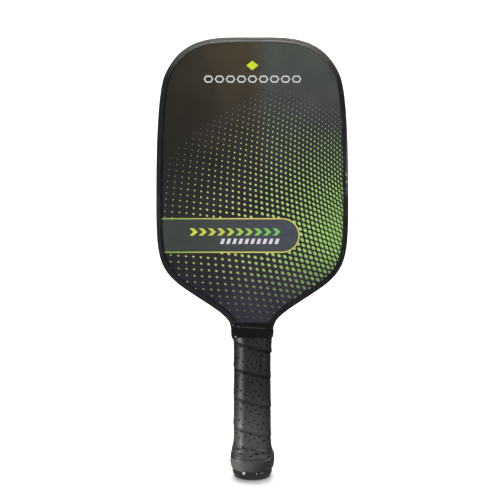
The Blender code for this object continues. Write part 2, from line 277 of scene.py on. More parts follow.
def add_ink(bm, outline, holes, lift, face_y=-FILM_FACE):
    """A flat patch of ink on the film: its face and the thin wall round it."""
    loops = [outline] + list(holes)
    flat = [[Vector((p.x, p.y, 0.0)) for p in loop] for loop in loops]
    corners = [p for loop in loops for p in loop]
    top = [bm.verts.new((p.x, face_y - lift, p.y)) for p in corners]
    low = [bm.verts.new((p.x, face_y, p.y)) for p in corners]
    if holes:
        for triangle in geometry.tessellate_polygon(flat):
            bm.faces.new([top[i] for i in triangle])
    else:
        bm.faces.new(top)
    start = 0
    for loop in loops:
        end = start + len(loop)
        bridge(bm, top[start:end], low[start:end])
        start = end


def ink_object(name, patches, lift, material, face_y=-FILM_FACE):
    """Patches of ink, each an outline and its holes, as one object."""
    bm = bmesh.new()
    for outline, holes in patches:
        add_ink(bm, outline, holes, lift, face_y)
    return new_object(name, bm, material, shade_smooth=False)


def loft(name, rings, material, capped):
    """A skin over closed rings of points, with or without its two ends."""
    bm = bmesh.new()
    layers = [[bm.verts.new(point) for point in ring] for ring in rings]
    for lower, upper in zip(layers, layers[1:]):
        bridge(bm, lower, upper)
    if capped:
        bm.faces.new(layers[0])
        bm.faces.new(layers[-1])
    return new_object(name, bm, material)


def sweep(name, path, section, material):
    """A closed section, as (distance inwards, y), swept round the paddle's edge."""
    rings = []
    for point, normal in zip(path, inward(path)):
        places = [(point + reach * normal, y) for reach, y in section]
        rings.append([(place.x, y, place.y) for place, y in places])
    return loft(name, rings, material, capped=True)


def sharpen(obj, angle):
    """Keeps edges that turn by more than an angle crisp."""
    obj.data.set_sharp_from_angle(angle=math.radians(angle))


def direction(angle):
    return Vector((math.cos(angle), math.sin(angle)))


def right_of(angle):
    """The direction at right angles to another, to its right."""
    return Vector((math.sin(angle), -math.cos(angle)))


def octagon_walk(half_width, half_depth, chamfer, radius):
    """An octagon with round corners as pieces of a walk from the front's middle to the left:
    (length, start point, start direction, turn)."""
    corner = math.radians(45)
    run = radius * math.tan(corner / 2)
    slope = chamfer * math.sqrt(2) - 2 * run
    width = 2 * (half_width - chamfer) - 2 * run
    depth = 2 * (half_depth - chamfer) - 2 * run
    place = Vector((0.0, -half_depth))
    heading = math.pi
    pieces = []
    for flat in (width / 2, slope, depth, slope, width, slope, depth, slope, width / 2):
        if pieces:
            pieces.append((radius * corner, place, heading, -corner))
            centre = place + radius * right_of(heading)
            heading -= corner
            place = centre - radius * right_of(heading)
        pieces.append((flat, place, heading, 0.0))
        place = place + flat * direction(heading)
    return pieces


def octagon_point(pieces, fraction):
    """The point at a fraction of the way round a walk, and the outward normal there."""
    total = sum(piece[0] for piece in pieces)
    left = (fraction % 1.0) * total
    for length, place, heading, turn in pieces:
        if left <= length:
            break
        left -= length
    if turn == 0.0:
        return place + left * direction(heading), -right_of(heading)
    radius = length / abs(turn)
    centre = place + radius * right_of(heading)
    outward = -right_of(heading - left / radius)
    return centre + radius * outward, outward


# Materials


class Look:
    """A Principled material put together from nodes."""

    def __init__(self, name, **values):
        self.material = bpy.data.materials.new(name)
        self.material.use_nodes = True
        self.tree = self.material.node_tree
        self.shader = self.tree.nodes["Principled BSDF"]
        self.place = self.tree.nodes.new("ShaderNodeTexCoord").outputs["Object"]
        for key, value in values.items():
            self.set(key.replace("_", " ").title().replace("Ior", "IOR"), value)

    def feed(self, socket, value):
        if isinstance(value, bpy.types.NodeSocket):
            self.tree.links.new(value, socket)
        elif socket.type == "RGBA":
            socket.default_value = (*value, 1.0)
        else:
            socket.default_value = value

    def set(self, name, value):
        self.feed(self.shader.inputs[name], value)

    def colour(self, value):
        self.set("Base Color", value)

    def node(self, kind, settings, **inputs):
        made = self.tree.nodes.new("ShaderNode" + kind)
        for key, value in settings.items():
            setattr(made, key, value)
        for key, value in inputs.items():
            self.feed(made.inputs[key], value)
        return made

    def axis(self, letter):
        return self.node("SeparateXYZ", {}, Vector=self.place).outputs[letter]

    def noise(self, scale, detail=3, stretch=(1, 1, 1)):
        place = self.node("Mapping", {}, Vector=self.place, Scale=stretch).outputs[0]
        made = self.node("TexNoise", {}, Vector=place, Scale=scale, Detail=detail, Roughness=0.55)
        return made.outputs["Fac"]

    def cells(self, scale):
        return self.node("TexVoronoi", {}, Vector=self.place, Scale=scale).outputs["Distance"]

    def maths(self, operation, first, second=0.0):
        made = self.node("Math", {"operation": operation})
        self.feed(made.inputs[0], first)
        self.feed(made.inputs[1], second)
        return made.outputs[0]

    def times(self, first, second):
        return self.maths("MULTIPLY", first, second)

    def most(self, first, second):
        return self.maths("MAXIMUM", first, second)

    def scaled(self, colour, factor):
        made = self.node("VectorMath", {"operation": "SCALE"}, Vector=colour, Scale=factor)
        return made.outputs[0]

    def remap(self, value, low, high, new_low=0.0, new_high=1.0):
        made = self.node("MapRange", {"interpolation_type": "SMOOTHSTEP"}, Value=value)
        for slot, number in enumerate((low, high, new_low, new_high), start=1):
            made.inputs[slot].default_value = number
        return made.outputs["Result"]

    def along(self, letter, low, high, new_low=0.0, new_high=1.0):
        """A value that changes between two places on an axis."""
        return self.remap(self.axis(letter), low, high, new_low, new_high)

    def varied(self, scale, detail, low, high, stretch=(1, 1, 1)):
        """A value that noise moves between two limits."""
        return self.remap(self.noise(scale, detail, stretch), 0.3, 0.7, low, high)

    def mix(self, share, first, second):
        made = self.node("Mix", {"data_type": "RGBA"})
        self.feed(made.inputs["Factor"], share)
        self.feed(made.inputs[6], first)
        self.feed(made.inputs[7], second)
        return made.outputs[2]

    def relief(self, height, distance, strength, before=None):
        """A normal that follows a height, on top of another normal."""
        made = self.node("Bump", {}, Height=height, Distance=distance, Strength=strength)
        if before is not None:
            self.feed(made.inputs["Normal"], before)
        return made.outputs["Normal"]

    def texture(self, *relief):
        self.set("Normal", self.relief(*relief))

    def print_grit(self):
        """Gives it the fine texture of the printed faces."""
        self.texture(self.noise(2600, 2), 0.000006, 0.5)


def srgb(red, green, blue):
    """A colour given as 0 to 255 display values, as linear light."""
    return tuple(((c / 255 + 0.055) / 1.055) ** 2.4 if c > 10 else c / 255 / 12.92
                 for c in (red, green, blue))


def film_look():
    """Satin dark print with dust and hairline scratches, its ground tinted with painted reflection:
    brown to the upper left, cool grey to the upper right, lighter towards the top."""
    look = Look("printed film", specular_ior_level=0.14)
    # Painted reflection: these tones, brown to the upper left, cool grey to the upper right,
    # lighter towards the top and purple-grey lower down, stand in for the room mirrored in the
    # satin film.
    warm_painted_reflection = look.mix(look.along("X", -0.085, 0.0), srgb(34, 30, 22), srgb(57, 50, 35))
    upper = look.mix(look.along("X", -0.006, 0.022), warm_painted_reflection, srgb(63, 67, 62))
    left = look.mix(look.along("Z", 0.240, 0.330), srgb(36, 32, 35), srgb(27, 26, 20))
    lower = look.mix(look.along("X", -0.09, 0.03), left, srgb(38, 35, 44))
    off_middle = look.maths("ABSOLUTE", look.maths("SUBTRACT", look.axis("X"), 0.018))
    foot = look.mix(look.remap(off_middle, 0.010, 0.070), srgb(45, 44, 53), srgb(27, 30, 38))
    foot = look.mix(look.along("Z", 0.165, 0.245), foot, lower)
    ground = look.mix(look.along("Z", 0.270, 0.420), foot, upper)
    ground = look.scaled(ground, look.varied(28, 4, 0.86, 1.14))
    specks = look.remap(look.cells(420), 0.035, 0.06, 1.0, 0.0)
    dust = look.times(specks, look.remap(look.noise(60, 2), 0.56, 0.66))
    hair = look.remap(look.noise(90, 2, (1, 1, 0.06)), 0.735, 0.76)
    marks = look.most(look.times(dust, 0.5), look.times(hair, 0.22))
    look.colour(look.mix(marks, ground, srgb(150, 150, 145)))
    look.set("Roughness", look.varied(45, 5, 0.36, 0.5))
    look.print_grit()
    return look.material


def dot_look():
    """Ink in the colour stored at each dot, a little uneven."""
    look = Look("dot ink", roughness=0.42, specular_ior_level=0.3)
    stored = look.node("VertexColor", {"layer_name": "ink"}).outputs["Color"]
    look.colour(look.scaled(stored, look.varied(700, 3, 0.9, 1.08)))
    look.print_grit()
    return look.material


def gradient_look(name, start, end, left, right):
    """Ink whose colour goes from left to right between two places across the face."""
    look = Look(name, specular_ior_level=0.3)
    colour = look.mix(look.along("X", start, end), left, right)
    look.colour(look.scaled(colour, look.varied(300, 4, 0.94, 1.06)))
    look.set("Roughness", look.varied(60, 3, 0.37, 0.49))
    look.print_grit()
    return look.material


def guard_look():
    """Semi-gloss black moulding, dulled and scuffed pale on the right, greyed along the top with
    dust and painted highlight, and made lighter at its right outer edge with painted highlight.
    """
    look = Look("edge guard plastic")
    look.set("Specular IOR Level", look.along("X", -0.088, -0.070, 0.05, 0.28))
    base = look.mix(look.remap(look.noise(40, 4), 0.35, 0.7), srgb(20, 21, 24),
                    srgb(30, 31, 34))
    # Partly dust and partly painted highlight: dusty grey streaks lighten the top of the rim.
    dust = look.times(look.varied(130, 4, 0.6, 1.0, (1, 0.3, 3)),
                      look.along("Z", 0.380, 0.418))
    base = look.mix(dust, base, srgb(78, 78, 72))
    scratches = look.remap(look.noise(900, 2, (1, 1, 0.12)), 0.66, 0.72)
    patches = look.remap(look.noise(380, 4, (1, 1, 0.6)), 0.52, 0.64)
    height = look.times(look.along("Z", 0.268, 0.280), look.along("Z", 0.324, 0.314))
    scuff = look.times(look.times(look.along("X", 0.0885, 0.0905), height), patches)
    # Painted highlight: the right outer edge is made lighter between these heights.
    height = look.times(look.along("Z", 0.262, 0.290), look.along("Z", 0.395, 0.350, 0.0, 0.45))
    painted_edge_highlight = look.times(height, look.along("X", 0.0895, 0.0915))
    wear_and_painted_highlight = look.most(look.times(look.most(scuff, painted_edge_highlight), 0.65), look.times(scratches, 0.10))
    look.colour(look.mix(wear_and_painted_highlight, base, srgb(150, 152, 156)))
    rough = look.varied(70, 4, 0.16, 0.26)
    look.set("Roughness", look.most(rough, look.times(wear_and_painted_highlight, 0.8)))
    ripple = look.relief(look.noise(55, 2), 0.0002, 0.2)
    look.texture(look.noise(1500), 0.000005, 0.5, ripple)
    return look.material


def grip_look():
    """Worn cushion strip: fine leather grain, polished and greyed where the hand goes, with painted
    highlight to the left, painted shade to the right and painted shade in the seams, folds and
    pits.
    """
    look = Look("cushion grip")
    worn_and_painted_side_light = look.times(look.varied(38, 4, 0.6, 1.0), look.along("Z", 0.100, 0.040))
    # Painted highlight and painted shade: the wear's grey is lighter to the left and darker to the
    # right.
    worn_and_painted_side_light = look.times(worn_and_painted_side_light, look.along("X", 0.016, -0.012, 0.40, 1.0))
    # Darker just above the cap.
    worn_and_painted_side_light = look.times(worn_and_painted_side_light, look.along("Z", 0.022, 0.035, 0.25, 1.0))
    base = look.mix(worn_and_painted_side_light, srgb(6, 6, 8), srgb(56, 53, 48))
    grime = look.remap(look.noise(160, 5), 0.5, 0.75)
    base = look.mix(look.times(grime, 0.2), base, srgb(40, 38, 36))
    marks = look.node("VertexColor", {"layer_name": "marks"}).outputs["Color"]
    marks = look.node("SeparateColor", {}, Color=marks)
    pit, seam = marks.outputs["Red"], marks.outputs["Green"]
    # Painted shade: the strip is darkened along the seams and in the folds.
    base = look.mix(look.times(seam, 0.6), base, srgb(12, 12, 13))
    # Painted shade: the pits are darkened nearly to black inside.
    look.colour(look.mix(pit, base, srgb(6, 6, 7)))
    rough = look.maths("ADD", look.varied(90, 4, 0.42, 0.54), look.times(seam, 0.25))
    look.set("Roughness", look.most(rough, pit))
    shine = look.maths("SUBTRACT", look.along("Z", 0.100, 0.040, 0.68, 1.0),
                       look.times(seam, 0.5))
    look.set("Specular IOR Level", look.times(shine, look.maths("SUBTRACT", 1.0, pit)))
    creases = look.relief(look.noise(420, 4, (1, 1, 1.8)), 0.00006, 0.5)
    look.texture(look.cells(1500), 0.000022, 0.5, creases)
    return look.material


def tape_look():
    """Glossy stretched vinyl with faint creases."""
    look = Look("vinyl tape", specular_ior_level=0.4)
    look.colour(look.mix(look.noise(120), srgb(5, 5, 7), srgb(11, 11, 13)))
    look.set("Roughness", look.varied(150, 3, 0.14, 0.24))
    creases = look.noise(240, 3, (1, 1, 0.35))
    look.texture(creases, 0.00003, 0.5)
    return look.material


def cap_look():
    """Moulded cap: matt and slightly dusty on its side, smoother on its rounded lower rim."""
    look = Look("butt cap plastic")
    dusty = look.remap(look.noise(110, 5), 0.35, 0.7)
    # Painted highlight and painted shade: the skirt is pale to the left and dark to the right.
    left = look.mix(dusty, srgb(70, 72, 69), srgb(88, 89, 84))
    right = look.mix(dusty, srgb(29, 28, 26), srgb(40, 38, 35))
    skirt = look.mix(look.along("X", -0.015, 0.008), left, right)
    look.colour(look.mix(look.along("Z", *CAP_GROOVE), srgb(24, 27, 29), skirt))
    look.set("Specular IOR Level", look.along("Z", *CAP_GROOVE, 1.0, 0.6))
    look.set("Roughness", look.maths("ADD", look.along("Z", *CAP_GROOVE, 0.06, 0.36),
                                     look.varied(300, 3, 0.0, 0.07)))
    grain = look.relief(look.noise(1800), 0.000008, 0.5)
    look.texture(look.noise(90, 2), 0.0002, 0.2, grain)
    return look.material


def plain_look(name, colour, second, scale, roughness, relief, **values):
    """An inner piece's material: two tones of noise, and its relief."""
    look = Look(name, **values)
    tone = look.noise(scale, 4)
    look.colour(look.mix(tone, colour, second))
    look.set("Roughness", look.remap(tone, 0.3, 0.7, roughness - 0.08, roughness + 0.08))
    look.texture(look.noise(scale * 3), relief, 0.6)
    return look.material


def weave_look():
    """Twill of a carbon cloth: two families of ribs that take turns."""
    look = Look("carbon composite", roughness=0.35)
    waves = []
    for direction in ("X", "Z"):
        wave = look.node("TexWave", {"bands_direction": direction}, Vector=look.place,
                         Scale=160.0, Distortion=0.0)
        waves.append(wave.outputs["Fac"])
    twill = look.maths("GREATER_THAN", waves[0], waves[1])
    look.colour(look.mix(twill, srgb(20, 20, 22), srgb(38, 38, 41)))
    look.texture(look.most(waves[0], waves[1]), 0.0001, 0.5)
    return look.material


# The print


def dot_place(across, down):
    """Where a lattice step lies on the face, in metres. Rows dip to the right, more steeply towards
    the upper right, columns lean and the pitch narrows to the right."""
    u, v = across / 20, down / 20
    x = -18.8 + 116.3 * u - 0.8 * v - 19.9 * u * u + 22.8 * u * v + 10.6 * v * v
    x += (7.5 * u + 3.3 * v) * v * v
    z = 270.8 - 21.8 * u - 108.3 * v - 7.3 * u * u + 10.8 * u * v - 6.5 * v * v
    z += (2.3 * u - 1.2 * v) * v * v
    return Vector((x, z)) * MM


def dot_cover(place):
    """Share of the face that ink covers: nothing at the upper left, half at the lower right, and
    little again next to the throat."""
    most = 0.54 * (max(place.x + 0.115, 0.0) / 0.207) ** 1.62
    top = 0.387 - 4.0 * place.x ** 2 - 0.022 * smooth(0.03, -0.05, place.x)
    downwards = min(max((top - place.y) / (top - 0.240), 0.0), 1.0) ** 1.35
    return most * downwards * smooth(0.140, 0.232, place.y) ** 0.42


def dot_colour(place, cover):
    """Yellow to the left, green to the right, grey where dots are tiny, dim towards the throat."""
    green = smooth(-0.08, 0.09, place.x)
    bright = Vector(srgb(172, 184, 84)).lerp(Vector(srgb(142, 186, 93)), green)
    later = 0.03 * smooth(0.0, 0.08, place.x)
    bright = Vector(srgb(138, 138, 126)).lerp(bright, smooth(0.007 + later, 0.034 + 2 * later,
                                                             cover))
    return Vector(srgb(66, 70, 60)).lerp(bright, smooth(0.155, 0.232, place.y))


def band_outline(film, margin):
    """The label band's outline, moved inwards by margin everywhere but at its left end."""
    half = BAND_HALF - margin
    left_side = [p for p in film if p.x < 0 and abs(p.y - BAND_MIDDLE) < half]
    ends = [Vector((-half_width_at(film, BAND_MIDDLE + side * half), BAND_MIDDLE + side * half))
            for side in (1, -1)]
    arc = []
    for i in range(BAND_ARC_STEPS + 1):
        angle = math.pi / 2 - math.pi * i / BAND_ARC_STEPS
        arc.append(Vector((BAND_ROUND_X + half * math.cos(angle),
                           BAND_MIDDLE + half * math.sin(angle))))
    return arc + [ends[1]] + left_side + [ends[0]]


def make_dots(film, band, material):
    """The halftone: rounded dots on the film, but not over the band."""
    bm = bmesh.new()
    layer = bm.loops.layers.float_color.new("ink")
    reach = inset_polygon(film, 0.0009)
    for across in DOT_STEPS_ACROSS:
        for down in DOT_STEPS_DOWN:
            place = dot_place(across, down)
            cover = dot_cover(place)
            if cover < LEAST_COVER or not contains(reach, place):
                continue
            if contains(band, place) and contains(band, place + Vector((0.002, 0))):
                continue
            power = 2 + 1.5 * smooth(0.22, 0.44, cover)
            size = math.sqrt(cover / (math.pi + 0.4 * (power - 2)))
            outline = []
            for corner in range(DOT_CORNERS):
                angle = -2 * math.pi * corner / DOT_CORNERS
                c, s = math.cos(angle), math.sin(angle)
                radius = size / (abs(c) ** power + abs(s) ** power) ** (1 / power)
                outline.append(dot_place(across + radius * c, down + radius * s))
            first = len(bm.faces)
            add_ink(bm, outline, [], DOT_INK)
            bm.faces.ensure_lookup_table()
            colour = (*dot_colour(place, cover), 1.0)
            for face in bm.faces[first:]:
                for loop in face.loops:
                    loop[layer] = colour
    return new_object("dot_print", bm, material, shade_smooth=False)


def patch(*corners):
    """A patch of ink without holes."""
    return [Vector(corner) for corner in corners], []


def spans(left, right, count, gap=0.0):
    """Starts and ends of equal stretches in a row, with gaps between them."""
    pitch = (right - left + gap) / count
    starts = [left + i * pitch for i in range(count)]
    return [(start, start + pitch - gap) for start in starts]


def bars(left, right, low, high, count, gap, slant):
    """A row of equal bars that lean to the right."""
    lean = slant * (high - low)
    return [patch((start, low), (start + lean, high), (end + lean, high), (end, low))
            for start, end in spans(left, right, count, gap)]


def links(left, right, low, high, count, gap, stroke):
    """A chain of hollow hexagons."""
    middle = (low + high) / 2
    tip = (high - low) * 0.32
    patches = []
    for start, end in spans(left, right, count, gap):
        outline, _ = patch((start, middle), (start + tip, high), (end - tip, high),
                           (end, middle), (end - tip, low), (start + tip, low))
        patches.append((outline, [inset_polygon(outline, stroke)[::-1]]))
    return patches


def chevrons(left, right, low, high, count, stroke):
    """A row of arrowheads pointing right."""
    middle = (low + high) / 2
    lean = (high - low) * 0.55
    return [patch((x, high), (x + stroke, high), (x + stroke + lean, middle),
                  (x + stroke, low), (x, low), (x + lean, middle))
            for x, _ in spans(left, right, count)]


def make_print():
    """Film, dots, label band and marks of one face."""
    film = cut_at(inset(outer_edge(), PANEL_INSET), FILM_BOTTOM)
    band = band_outline(film, 0.0)
    inner = band_outline(film, BAND_LINE)
    round_end = BAND_ARC_STEPS + 2
    line = [band[-1]] + band[:round_end] + inner[:round_end][::-1] + [inner[-1]]
    crest = [patch((-0.0058, 0.3970), (0.0, 0.4016), (0.0058, 0.3970), (0.0, 0.3924))]
    chain = links(-0.0468, 0.0472, 0.3805, 0.3872, 9, 0.0014, 0.00125)
    arrows = chevrons(-0.0604, 0.0282, 0.2333, 0.2403, 10, 0.0040)
    dashes = bars(-0.0310, 0.0245, 0.2252, 0.2303, 10, 0.0026, 0.35)
    lime, off_white, pale = srgb(172, 190, 24), srgb(186, 188, 184), srgb(190, 188, 196)
    inks = (  # piece, patches, lift, ink and its colours from left to right
        # The band ink's change from darker green-grey on the left to lighter cool grey on the right
        # is painted reflection.
        ("label_band", [(band, [])], BAND_INK,
         ("band ink", -0.08, 0.04, srgb(46, 52, 47), srgb(62, 65, 72))),
        ("label_line", [(line, [])], LINE_INK,
         ("line ink", -0.085, 0.0, srgb(116, 150, 62), srgb(184, 176, 90))),
        ("crest_mark", crest, LINE_INK, ("crest ink", -0.01, 0.01, lime, lime)),
        ("top_links", chain, LINE_INK, ("white ink", -0.05, 0.05, off_white, off_white)),
        ("label_chevrons", arrows, LINE_INK,
         ("chevron ink", -0.058, 0.025, srgb(184, 184, 56), srgb(100, 172, 84))),
        ("label_dashes", dashes, LINE_INK, ("dash ink", -0.03, 0.03, pale, pale)),
    )
    pieces = [ink_object("face_film", [(film, [])], FILM_THICKNESS, film_look(),
                         FILM_THICKNESS - FILM_FACE),
              make_dots(film, band, dot_look())]
    for name, patches, lift, ink in inks:
        pieces.append(ink_object(name, patches, lift, gradient_look(*ink)))
    return pieces


def turned(piece, name):
    """A copy of a piece for the back of the paddle."""
    copy = add_object(name, piece.data)
    copy.matrix_world = Matrix.Rotation(math.pi, 4, "Z")
    return copy


def place_prints():
    """The same print on both faces."""
    for piece in make_print():
        kind = piece.name
        back = turned(piece, "back_" + kind)
        piece.name = "front_" + kind
        for side in (piece, back):
            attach(side, "root")
        if kind == "face_film":
            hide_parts("front_graphic_film")
            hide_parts("back_graphic_film")


# The moulded and wound pieces


def make_guard():
    """The channel: a flat web, tight shoulders, and lips that rise inwards past a fine line."""
    half = [  # millimetres inwards from the edge, and towards a face
        (0, 0), (0, 4), (0, 6.6), (0.04, 7.3), (0.14, 7.8), (0.32, 8.2), (0.6, 8.42), (1, 8.56),
        (1.8, 8.66), (2.6, 8.75), (2.72, 8.71), (2.84, 8.77), (3.4, 8.84), (4.2, 8.94), (4.8, 9.01),
        (5.1, 8.98), (5.3, 8.86), (5.4, 8.6), (5.4, 7.95), (5.25, 7.9), (1.5, 7.9), (1.5, 0),
    ]
    half = [(reach * MM, y * MM) for reach, y in half]
    section = half + [(reach, -y) for reach, y in reversed(half[1:-1])]
    guard = sweep("edge_channel", outer_edge(), section, guard_look())
    sharpen(guard, 50)
    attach(guard, "root")
    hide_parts("edge_guard")


def handle_walk(height):
    """The way round the bare handle at a height."""
    return octagon_walk(*interpolate(HANDLE, height), HANDLE_RADIUS)


def handle_place(fraction, height, lift):
    """A point over the bare handle, lift away from its surface."""
    point, normal = octagon_point(handle_walk(height), fraction)
    point = point + lift * normal
    return Vector((point.x, point.y, height))


def lower_edge(turns):
    """Height of the strip's lower edge."""
    return interpolate(STRIP_EDGE, turns)[0]


def fold_places(turns, height):
    """For each fold: its depth and how far the point lies above it. Then how strong the folds are,
    which is nothing at the handle's back."""
    side = turns - round(turns)
    places = [(depth, height - start - slope * side + bend * side * side)
              for start, slope, bend, depth in STRIP_FOLDS]
    return places, smooth(0.30, 0.16, abs(side))


def strip_lift(turns, height, above, perimeter):
    """Height of the strip's surface over the bare handle, above being the distance over the turn's
    own lower edge."""
    round_length = turns * perimeter
    pitch = lower_edge(turns + 1) - lower_edge(turns)
    lift = STRIP_THICKNESS + STRIP_LAP * math.exp(-((above / 0.0048) ** 2))
    if above < STRIP_ROUND:
        lift -= STRIP_ROUND * (1 - math.sqrt(1 - (1 - above / STRIP_ROUND) ** 2))
    # The upper edge sinks under the next turn, and the last turn stands a little higher
    lift -= 0.0010 * smooth(pitch - 0.0042, pitch + STRIP_TUCK, above)
    lift += 0.00065 * smooth(2.50, 2.80, turns)
    # The foam is a little uneven all over
    spot = Vector((round_length, 0.0, height))
    lift += 0.00017 * noise.noise(spot * 85)
    lift += 0.00005 * noise.noise(spot * 210 + Vector((7, 3, 1)))
    places, reach = fold_places(turns, height)
    for depth, off in places:
        lift -= depth * reach * math.exp(-((off / 0.00045) ** 2))
        lift += 0.6 * depth * reach * math.exp(-(((off - 0.0011) / 0.0008) ** 2))
    wrinkled = smooth(0.043, 0.024, height)
    lift += 0.00025 * wrinkled * noise.noise(Vector((round_length * 60, 5.0, height * 420)))
    return lift


def strip_painted_shade(turns, height, above):
    """How much painted shade darkens a point of the strip: along the seams and in the folds."""
    pitch = lower_edge(turns + 1) - lower_edge(turns)
    painted_shade = 0.75 * smooth(pitch - 0.0048, pitch - 0.0006, above)
    patch = 0.5 + 0.9 * noise.noise(Vector(((turns - round(turns)) * 60, height * 200, 3.0)))
    places, reach = fold_places(turns, height)
    for depth, off in places:
        painted_shade = max(painted_shade, 1400 * depth * reach * patch * math.exp(-((off / 0.0008) ** 2)))
    return min(max(painted_shade, 0.0), 1.0)


class Strip:
    """The grip's strip laid flat: x is the way along it from the front's middle, y the height on
    the handle."""

    def __init__(self):
        self.perimeter = sum(piece[0] for piece in handle_walk(0.08))  # of the handle's middle
        step = 1 / STRIP_STEPS
        turns = [-2.0 + i * step for i in range(round(6.0 / step))]
        turns = [t for t in turns if lower_edge(t) + STRIP_WIDTH > WRAP_BOTTOM - 0.002
                 and lower_edge(t) < WRAP_TOP]
        self.lengths = [t * self.perimeter for t in turns]
        self.rows = list(STRIP_ROWS)
        while self.rows[-1] < STRIP_WIDTH - 0.0015:
            self.rows.append(self.rows[-1] + STRIP_ROW)
        self.holes = self.find_holes()
        self.cells = {}
        for hole in self.holes:
            self.cells.setdefault(self.cell(hole), []).append(hole)

    def edge(self, length):
        return lower_edge(length / self.perimeter)

    def bottom(self, length):
        """Height at which the strip is cut off along the cap, a little uneven."""
        around = (length / self.perimeter) % 1.0
        level = WRAP_BOTTOM + 0.00025 * math.sin(length * 130) + 0.0002 * math.sin(length * 47 + 1)
        return level + 0.0040 * smooth(0.10, 0.03, abs(around - BARE_PLACE))

    def outline(self):
        """Its outline, along its lower edge or the cut at the cap, and back along the top."""
        low, high = [], []
        for length in self.lengths:
            start = max(self.edge(length), self.bottom(length))
            end = min(self.edge(length) + STRIP_WIDTH, WRAP_TOP)
            if end > start + 0.0002:
                low.append(Vector((length, start)))
                high.append(Vector((length, end)))
        return low + high[::-1]

    def find_holes(self):
        """The middles of the holes, in slanted rows, clear of the strip's edges."""
        holes = []
        clear = HOLE_RADIUS + 0.0005
        first = math.floor(self.lengths[0] / HOLE_PITCH)
        last = math.ceil(self.lengths[-1] / HOLE_PITCH)
        for number, above in enumerate(HOLE_ROWS):
            for k in range(first, last):
                length = k * HOLE_PITCH + number * HOLE_SHIFT
                wobble = noise.noise(Vector((length * 300, number * 5.0, 0))) * 0.0002
                place = Vector((length + wobble, self.edge(length) + above + wobble))
                if place.y - clear < self.bottom(length) or place.y + clear > WRAP_TOP:
                    continue
                off_middle = abs(place.y - self.edge(place.x) - STRIP_WIDTH / 2)
                if off_middle <= STRIP_WIDTH / 2 - clear:
                    holes.append(place)
        return holes

    @staticmethod
    def cell(point):
        return round(point.x / HOLE_CELL), round(point.y / HOLE_CELL)

    def near_hole(self, point, reach):
        """The hole whose middle lies within reach of a point, or None."""
        a, b = self.cell(point)
        for i in (a - 1, a, a + 1):
            for j in (b - 1, b, b + 1):
                for hole in self.cells.get((i, j), ()):
                    if (hole - point).length < reach:
                        return hole
        return None

    def surface(self, point, deeper=0.0):
        """Where a point of the flat strip comes to lie on the handle."""
        above = min(max(point.y - self.edge(point.x), 0.0), STRIP_WIDTH)
        turns = point.x / self.perimeter
        lift = strip_lift(turns, point.y, above, self.perimeter) - deeper
        return handle_place(turns, point.y, lift)

    def triangles(self):
        """The flat strip's mesh, as points and triangles, with the holes' rims as edges."""
        points = self.outline()
        corners = len(points)
        edges = [(i, (i + 1) % corners) for i in range(corners)]
        for hole in self.holes:
            start = len(points)
            for i in range(HOLE_CORNERS):
                angle = 2 * math.pi * i / HOLE_CORNERS
                points.append(hole + HOLE_RADIUS * direction(angle))
                edges.append((start + i, start + (i + 1) % HOLE_CORNERS))
        for length in self.lengths:
            for above in self.rows[1:]:
                point = Vector((length, self.edge(length) + above))
                inside = self.bottom(length) + 0.0003 < point.y < WRAP_TOP - 0.0003
                if inside and self.near_hole(point, HOLE_RADIUS + 0.00028) is None:
                    points.append(point)
        made = geometry.delaunay_2d_cdt(points, edges, [list(range(corners))], 1, 1e-7)
        return made[0], made[2]


def add_pits(bm, strip, flat, verts):
    """Carries each hole's rim inwards in steps and closes it with a floor."""
    rims = {}
    for i, point in enumerate(flat):
        hole = strip.near_hole(point, HOLE_RADIUS * 1.02)
        if hole is not None:
            rims.setdefault(tuple(hole), []).append(i)
    faces = []
    for place, members in rims.items():
        centre = Vector(place)
        members.sort(key=lambda i: math.atan2(flat[i].y - centre.y, flat[i].x - centre.x))
        ring = [verts[i] for i in members]
        for share, deep in PIT_STEPS:
            inner = [bm.verts.new(strip.surface(centre + share * (flat[i] - centre), deep))
                     for i in members]
            faces += bridge(bm, ring, inner)
            ring = inner
        faces.append(bm.faces.new(ring))
    return faces


def turn_edges_down(bm):
    """Gives the strip's cut edge, all round, a wall towards the handle."""
    border = [edge for edge in bm.edges if edge.is_boundary]
    lower = {}
    for edge in border:
        for vert in edge.verts:
            if vert not in lower:
                outwards = Vector((vert.co.x, vert.co.y, 0.0)).normalized()
                lower[vert] = bm.verts.new(vert.co - 0.0010 * outwards)
    for edge in border:
        a, b = edge.verts
        bm.faces.new((a, b, lower[b], lower[a]))


def make_grip():
    """The wound strip: one ribbon that climbs the handle, with its perforations as real pits."""
    strip = Strip()
    flat, triangles = strip.triangles()
    bm = bmesh.new()
    marks = bm.loops.layers.float_color.new("marks")
    verts = [bm.verts.new(strip.surface(point)) for point in flat]
    painted_shade = {vert: strip_painted_shade(p.x / strip.perimeter, p.y, p.y - strip.edge(p.x))
            for vert, p in zip(verts, flat)}
    for triangle in triangles:
        centre = sum((flat[i] for i in triangle), Vector((0.0, 0.0))) / 3
        if strip.near_hole(centre, HOLE_RADIUS * 0.97) is None:
            bm.faces.new([verts[i] for i in triangle])
    pit_faces = add_pits(bm, strip, flat, verts)
    turn_edges_down(bm)
    # Red marks a pit, which is darkened with painted shade, and green is painted shade along the
    # seams and in the folds
    for face in bm.faces:
        for loop in face.loops:
            loop[marks] = (0.0, painted_shade.get(loop.vert, 1.0), 0.0, 1.0)
    for face in pit_faces:
        for loop in face.loops:
            loop[marks] = (1.0, 1.0, 0.0, 1.0)
    grip = new_object("grip_strip", bm, grip_look())
    sharpen(grip, 50)
    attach(grip, "root")
    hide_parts("grip_wrap")


